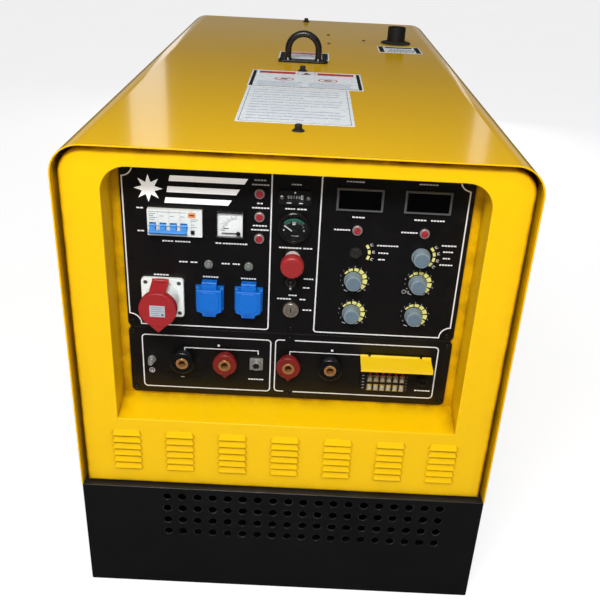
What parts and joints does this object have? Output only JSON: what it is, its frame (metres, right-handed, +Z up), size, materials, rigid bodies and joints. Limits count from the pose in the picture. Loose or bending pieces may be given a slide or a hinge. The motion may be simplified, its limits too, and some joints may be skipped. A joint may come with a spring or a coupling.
{
  "type": "engine driven welder",
  "caption": "Canopied engine-driven welding generator on a black base, with a recessed front control panel, side doors, roof lifting bail and exhaust stub.",
  "frame": {"origin": "centre of the base's underside", "axes": "+X to the right seen from the control panel, -Y out of the control panel end, +Z up"},
  "size_m": [0.774, 1.48, 0.9587],
  "materials": {
    "yellow_paint": "smooth gloss powder coat",
    "black_paint": "satin powder coat",
    "panel_black": "satin overlay with white line work",
    "bright_steel": "bright nickel plate",
    "zinc_steel": "zinc plate",
    "black_steel": "black oxide",
    "red_plastic": "moulded, semi gloss",
    "blue_plastic": "moulded, semi gloss",
    "white_plastic": "moulded, fine texture",
    "grey_plastic": "moulded, fine texture",
    "light_grey_plastic": "moulded, fine texture",
    "black_plastic": "moulded, fine texture",
    "lens_red": "translucent red",
    "window_glass": "clear",
    "brass": "turned",
    "white_paint": "needle paint",
    "rubber": "matt",
    "cast_iron": "painted casting",
    "aluminium": "as cast",
    "fan_plastic": "moulded nylon"
  },
  "bodies": {
    "machine": {"base_frame": "black_paint", "canopy_shell": "yellow_paint", "front_fascia": "yellow_paint", "rear_panel": "yellow_paint", "lifting_bail": "black_paint", "roof_bolts": "black_steel", "hinge_pins": "zinc_steel", "upper_panel": "panel_black", "lower_panel": "panel_black", "panel_fasteners": "black_steel", "breaker_body": "light_grey_plastic", "voltmeter_case": "black_plastic", "fuel_gauge_case": "black_plastic", "meter_windows": "window_glass", "digital_meters": "black_plastic", "lamp_lenses": "lens_red", "panel_collars": "bright_steel", "three_phase_socket": "white_plastic", "blue_socket_bodies": "blue_plastic", "weld_terminal_shells": "black_plastic", "weld_terminal_inserts": "brass", "remote_sockets": "bright_steel", "terminal_strip": "black_plastic", "fuel_tank": "black_paint", "engine_block": "cast_iron", "alternator_housing": "aluminium", "fan_belt": "rubber", "radiator": "aluminium", "exhaust_muffler": "black_steel", "battery": "black_plastic", "air_cleaner": "black_plastic", "av_mounts": "rubber", "power_module": "aluminium"},
    "breaker_toggle": {"breaker_toggle": "blue_plastic"},
    "breaker_test_button": {"breaker_test_button": "black_plastic"},
    "voltmeter_needle": {"voltmeter_needle": "black_plastic"},
    "fuel_gauge_needle": {"fuel_gauge_needle": "white_paint"},
    "circuit_button_1": {"circuit_button_1": "grey_plastic"},
    "circuit_button_2": {"circuit_button_2": "grey_plastic"},
    "emergency_stop_stem": {"emergency_stop_stem": "zinc_steel"},
    "emergency_stop_head": {"emergency_stop_head": "red_plastic"},
    "idle_toggle_lever": {"idle_toggle_lever": "bright_steel"},
    "ignition_barrel": {"ignition_barrel": "brass"},
    "process_knob_a": {"process_knob_a": "zinc_steel"},
    "process_knob_b": {"process_knob_b": "grey_plastic"},
    "current_knob_a": {"current_knob_a": "grey_plastic"},
    "arc_knob_a": {"arc_knob_a": "grey_plastic"},
    "current_knob_b": {"current_knob_b": "grey_plastic"},
    "arc_knob_b": {"arc_knob_b": "grey_plastic"},
    "three_phase_lid": {"three_phase_lid": "red_plastic"},
    "blue_lid_1": {"blue_lid_1": "blue_plastic"},
    "blue_lid_2": {"blue_lid_2": "blue_plastic"},
    "terminal_cover": {"terminal_cover": "yellow_paint"},
    "left_door": {"left_door": "yellow_paint"},
    "right_door": {"right_door": "yellow_paint"},
    "left_door_latch": {"left_door_latch": "black_plastic"},
    "right_door_latch": {"right_door_latch": "black_plastic"},
    "rotor_shaft": {"rotor_shaft": "zinc_steel"},
    "cooling_fan": {"cooling_fan": "fan_plastic"},
    "fuel_cap": {"fuel_cap": "black_plastic"}
  },
  "joints": [
    {"name": "breaker_toggle_hinge", "type": "hinge", "parent": "machine", "child": "breaker_toggle", "pos_m": [-0.207, -0.672, 0.737], "axis": [-1, 0, 0], "range_deg": [0, 86]},
    {"name": "breaker_test_press", "type": "slide", "parent": "machine", "child": "breaker_test_button", "axis": [0, 1, 0], "range_m": [0, 0.0015]},
    {"name": "voltmeter_needle_swing", "type": "hinge", "parent": "machine", "child": "voltmeter_needle", "pos_m": [-0.0935, -0.674, 0.7302], "axis": [0, 1, 0], "range_deg": [0, 90]},
    {"name": "fuel_gauge_needle_swing", "type": "hinge", "parent": "machine", "child": "fuel_gauge_needle", "pos_m": [-0.0023, -0.67, 0.7357], "axis": [0, 1, 0], "range_deg": [-8, 112]},
    {"name": "circuit_button_1_trip", "type": "slide", "parent": "machine", "child": "circuit_button_1", "axis": [0, -1, 0], "range_m": [0, 0.004]},
    {"name": "circuit_button_2_trip", "type": "slide", "parent": "machine", "child": "circuit_button_2", "axis": [0, -1, 0], "range_m": [0, 0.004]},
    {"name": "emergency_stop_press", "type": "slide", "parent": "machine", "child": "emergency_stop_stem", "axis": [0, 1, 0], "range_m": [0, 0.005]},
    {"name": "emergency_stop_twist", "type": "hinge", "parent": "emergency_stop_stem", "child": "emergency_stop_head", "pos_m": [-0.0022, -0.696, 0.687], "axis": [0, 1, 0], "range_deg": [0, 45]},
    {"name": "idle_toggle_tilt", "type": "hinge", "parent": "machine", "child": "idle_toggle_lever", "pos_m": [-0.0037, -0.669, 0.6434], "axis": [-1, 0, 0], "range_deg": [0, 22]},
    {"name": "ignition_turn", "type": "hinge", "parent": "machine", "child": "ignition_barrel", "pos_m": [-0.0018, -0.67, 0.5902], "axis": [0, 1, 0], "range_deg": [-45, 90]},
    {"name": "process_a_turn", "type": "hinge", "parent": "machine", "child": "process_knob_a", "pos_m": [0.1027, -0.676, 0.703], "axis": [0, 1, 0], "range_deg": [-25, 25]},
    {"name": "process_b_turn", "type": "hinge", "parent": "machine", "child": "process_knob_b", "pos_m": [0.2116, -0.676, 0.702], "axis": [0, 1, 0], "range_deg": [-38, 38]},
    {"name": "current_a_turn", "type": "hinge", "parent": "machine", "child": "current_knob_a", "pos_m": [0.102, -0.676, 0.653], "axis": [0, 1, 0], "range_deg": [-135, 135]},
    {"name": "arc_a_turn", "type": "hinge", "parent": "machine", "child": "arc_knob_a", "pos_m": [0.103, -0.676, 0.59], "axis": [0, 1, 0], "range_deg": [-135, 135]},
    {"name": "current_b_turn", "type": "hinge", "parent": "machine", "child": "current_knob_b", "pos_m": [0.2118, -0.676, 0.6522], "axis": [0, 1, 0], "range_deg": [-135, 135]},
    {"name": "arc_b_turn", "type": "hinge", "parent": "machine", "child": "arc_knob_b", "pos_m": [0.2113, -0.676, 0.5905], "axis": [0, 1, 0], "range_deg": [-135, 135]},
    {"name": "three_phase_lid_hinge", "type": "hinge", "parent": "machine", "child": "three_phase_lid", "pos_m": [-0.2234, -0.684, 0.6413], "axis": [-1, 0, 0], "range_deg": [0, 105]},
    {"name": "blue_lid_1_hinge", "type": "hinge", "parent": "machine", "child": "blue_lid_1", "pos_m": [-0.142, -0.6755, 0.6365], "axis": [-1, 0, 0], "range_deg": [0, 115]},
    {"name": "blue_lid_2_hinge", "type": "hinge", "parent": "machine", "child": "blue_lid_2", "pos_m": [-0.075, -0.6755, 0.6368], "axis": [-1, 0, 0], "range_deg": [0, 115]},
    {"name": "terminal_cover_hinge", "type": "hinge", "parent": "machine", "child": "terminal_cover", "pos_m": [0.189, -0.6702, 0.505], "axis": [1, 0, 0], "range_deg": [-75, 40]},
    {"name": "left_door_hinge", "type": "hinge", "parent": "machine", "child": "left_door", "pos_m": [-0.3815, 0.481, 0.54], "axis": [0, 0, -1], "range_deg": [0, 110]},
    {"name": "right_door_hinge", "type": "hinge", "parent": "machine", "child": "right_door", "pos_m": [0.3815, 0.481, 0.54], "axis": [0, 0, 1], "range_deg": [0, 110]},
    {"name": "left_latch_turn", "type": "hinge", "parent": "left_door", "child": "left_door_latch", "pos_m": [-0.376, -0.375, 0.54], "axis": [-1, 0, 0], "range_deg": [0, 90]},
    {"name": "right_latch_turn", "type": "hinge", "parent": "right_door", "child": "right_door_latch", "pos_m": [0.376, -0.375, 0.54], "axis": [-1, 0, 0], "range_deg": [0, 90]},
    {"name": "crankshaft_spin", "type": "hinge", "parent": "machine", "child": "rotor_shaft", "pos_m": [0, 0, 0.4], "axis": [0, 1, 0], "continuous": true},
    {"name": "fan_spin", "type": "hinge", "parent": "machine", "child": "cooling_fan", "pos_m": [0, 0.38, 0.54], "axis": [0, 1, 0], "continuous": true},
    {"name": "fuel_cap_turn", "type": "hinge", "parent": "machine", "child": "fuel_cap", "pos_m": [-0.3, -0.18, 0.295], "axis": [0, 0, 1], "range_deg": [0, 90]}
  ],
  "couplings": [
    {"joint": "fan_spin", "follows": "crankshaft_spin", "ratio": 1.2222}
  ]
}
